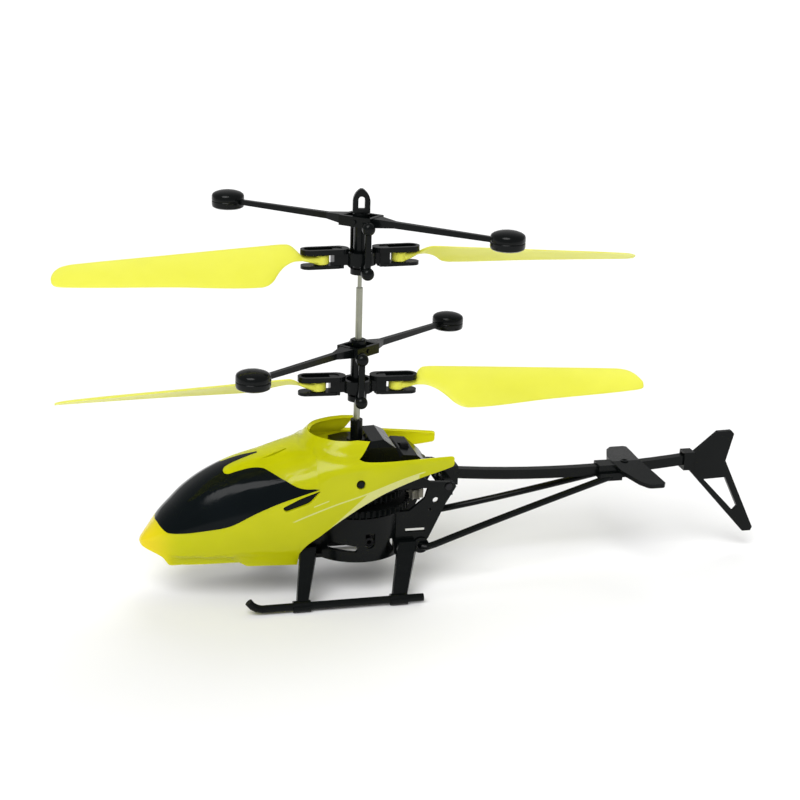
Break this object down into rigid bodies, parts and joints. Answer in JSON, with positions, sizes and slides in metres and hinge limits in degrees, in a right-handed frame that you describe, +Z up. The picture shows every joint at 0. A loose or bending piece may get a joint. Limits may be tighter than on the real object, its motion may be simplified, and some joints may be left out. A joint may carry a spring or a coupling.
{
  "type": "toy helicopter",
  "caption": "Small coaxial toy helicopter with yellow canopy and blades, black frame, flybars on both rotors, skids and a braced tail boom.",
  "frame": {"origin": "middle of the overall box, on the plane that the skids stand on", "axes": "+X towards the tail, +Y to starboard, +Z up along the mast"},
  "size_m": [0.1791, 0.06, 0.0978],
  "materials": {
    "canopy": "glossy moulded fluorescent yellow",
    "windscreen": "glossy smoked black",
    "frame_plastic": "semi-gloss black moulding",
    "rotor_plastic": "semi-gloss black moulding",
    "weights": "glossy black",
    "blade_plastic": "satin flexible yellow plastic",
    "gear_plastic": "black acetal",
    "pinion_plastic": "natural acetal",
    "mast_steel": "polished steel",
    "motor_can": "bright steel can",
    "screws": "steel",
    "brass_bush": "turned brass",
    "battery_wrap": "silver wrap",
    "circuit_board": "green solder mask",
    "electronics": "dark component plastic",
    "switch_plastic": "black slider"
  },
  "bodies": {
    "airframe": {"canopy": "canopy", "windscreen": "windscreen", "canopy_pegs": "frame_plastic", "frame_left": "frame_plastic", "frame_right": "frame_plastic", "frame_screws": "screws", "upper_deck": "frame_plastic", "mast_collar": "frame_plastic", "bearing_bridge": "frame_plastic", "lower_bearing": "brass_bush", "battery_tray": "frame_plastic", "battery": "battery_wrap", "circuit_board": "circuit_board", "infrared_receiver": "electronics", "induction_sensor": "electronics", "charge_socket": "electronics", "front_motor": "motor_can", "front_motor_mount": "frame_plastic", "rear_motor": "motor_can", "tail_mount": "frame_plastic", "tail_boom": "frame_plastic", "tail_strut_left": "frame_plastic", "tail_strut_right": "frame_plastic", "stabilizer": "frame_plastic", "tail_fin": "frame_plastic", "skid_left": "frame_plastic", "skid_right": "frame_plastic", "front_leg_left": "frame_plastic", "front_leg_right": "frame_plastic", "rear_leg_left": "frame_plastic", "rear_leg_right": "frame_plastic"},
    "power_switch": {"power_switch": "switch_plastic"},
    "front_pinion": {"front_pinion": "pinion_plastic"},
    "rear_pinion": {"rear_pinion": "pinion_plastic"},
    "lower_rotor": {"outer_tube": "mast_steel", "outer_gear": "gear_plastic", "lower_hub": "rotor_plastic"},
    "lower_carrier": {"lower_carrier": "rotor_plastic"},
    "lower_flybar": {"lower_flybar": "rotor_plastic", "lower_weights": "weights"},
    "lower_link_port": {"lower_link_port": "rotor_plastic"},
    "lower_link_starboard": {"lower_link_starboard": "rotor_plastic"},
    "lower_blade_front": {"lower_blade_front": "blade_plastic"},
    "lower_blade_rear": {"lower_blade_rear": "blade_plastic"},
    "upper_rotor": {"inner_shaft": "mast_steel", "shaft_collar": "rotor_plastic", "inner_gear": "gear_plastic", "upper_hub": "rotor_plastic", "head_loop": "rotor_plastic"},
    "upper_carrier": {"upper_carrier": "rotor_plastic"},
    "upper_flybar": {"upper_flybar": "rotor_plastic", "upper_weights": "weights"},
    "upper_link_port": {"upper_link_port": "rotor_plastic"},
    "upper_link_starboard": {"upper_link_starboard": "rotor_plastic"},
    "upper_blade_front": {"upper_blade_front": "blade_plastic"},
    "upper_blade_rear": {"upper_blade_rear": "blade_plastic"}
  },
  "joints": [
    {"name": "lower_rotor_spin", "type": "hinge", "parent": "airframe", "child": "lower_rotor", "pos_m": [-0.0181, 0, 0.0503], "axis": [0, 0, 1], "continuous": true},
    {"name": "upper_rotor_spin", "type": "hinge", "parent": "airframe", "child": "upper_rotor", "pos_m": [-0.0181, 0, 0.0816], "axis": [0, 0, 1], "continuous": true},
    {"name": "front_pinion_spin", "type": "hinge", "parent": "airframe", "child": "front_pinion", "pos_m": [-0.0316, 0, 0.024], "axis": [0, 0, 1], "continuous": true},
    {"name": "rear_pinion_spin", "type": "hinge", "parent": "airframe", "child": "rear_pinion", "pos_m": [-0.0031, 0, 0.021], "axis": [0, 0, 1], "continuous": true},
    {"name": "power_switch_slide", "type": "slide", "parent": "airframe", "child": "power_switch", "axis": [0, 1, 0], "range_m": [0, 0.0014]},
    {"name": "lower_flybar_tilt", "type": "hinge", "parent": "lower_rotor", "child": "lower_flybar", "pos_m": [-0.0181, 0, 0.0592], "axis": [0.6481, -0.7615, 0], "range_deg": [-12, 12]},
    {"name": "lower_carrier_tilt", "type": "hinge", "parent": "lower_rotor", "child": "lower_carrier", "pos_m": [-0.0181, 0, 0.0503], "axis": [0.9985, -0.0541, 0], "range_deg": [-9, 9]},
    {"name": "lower_link_port_slide", "type": "slide", "parent": "lower_rotor", "child": "lower_link_port", "axis": [0, 0, 1], "range_m": [-0.001, 0.001]},
    {"name": "lower_link_starboard_slide", "type": "slide", "parent": "lower_rotor", "child": "lower_link_starboard", "axis": [0, 0, 1], "range_m": [-0.001, 0.001]},
    {"name": "lower_blade_front_swing", "type": "hinge", "parent": "lower_carrier", "child": "lower_blade_front", "pos_m": [-0.02759, 0.00051, 0.0503], "axis": [0, 0, 1], "range_deg": [-60, 60]},
    {"name": "lower_blade_rear_swing", "type": "hinge", "parent": "lower_carrier", "child": "lower_blade_rear", "pos_m": [-0.00861, -0.00051, 0.0503], "axis": [0, 0, 1], "range_deg": [-60, 60]},
    {"name": "upper_flybar_tilt", "type": "hinge", "parent": "upper_rotor", "child": "upper_flybar", "pos_m": [-0.0181, 0, 0.0905], "axis": [0.6884, 0.7254, 0], "range_deg": [-12, 12]},
    {"name": "upper_carrier_tilt", "type": "hinge", "parent": "upper_rotor", "child": "upper_carrier", "pos_m": [-0.0181, 0, 0.0816], "axis": [0.9974, 0.0715, 0], "range_deg": [-9, 9]},
    {"name": "upper_link_port_slide", "type": "slide", "parent": "upper_rotor", "child": "upper_link_port", "axis": [0, 0, 1], "range_m": [-0.001, 0.001]},
    {"name": "upper_link_starboard_slide", "type": "slide", "parent": "upper_rotor", "child": "upper_link_starboard", "axis": [0, 0, 1], "range_m": [-0.001, 0.001]},
    {"name": "upper_blade_front_swing", "type": "hinge", "parent": "upper_carrier", "child": "upper_blade_front", "pos_m": [-0.02758, -0.00068, 0.0816], "axis": [0, 0, 1], "range_deg": [-60, 60]},
    {"name": "upper_blade_rear_swing", "type": "hinge", "parent": "upper_carrier", "child": "upper_blade_rear", "pos_m": [-0.00862, 0.00068, 0.0816], "axis": [0, 0, 1], "range_deg": [-60, 60]}
  ],
  "couplings": [
    {"joint": "front_pinion_spin", "follows": "lower_rotor_spin", "ratio": -5.75},
    {"joint": "rear_pinion_spin", "follows": "upper_rotor_spin", "ratio": -6.5},
    {"joint": "lower_carrier_tilt", "follows": "lower_flybar_tilt", "ratio": 0.68836},
    {"joint": "lower_link_port_slide", "follows": "lower_flybar_tilt", "m_per_rad": -0.0041301},
    {"joint": "lower_link_starboard_slide", "follows": "lower_flybar_tilt", "m_per_rad": 0.0041301},
    {"joint": "upper_carrier_tilt", "follows": "upper_flybar_tilt", "ratio": 0.73845},
    {"joint": "upper_link_port_slide", "follows": "upper_flybar_tilt", "m_per_rad": -0.0044307},
    {"joint": "upper_link_starboard_slide", "follows": "upper_flybar_tilt", "m_per_rad": 0.0044307}
  ]
}
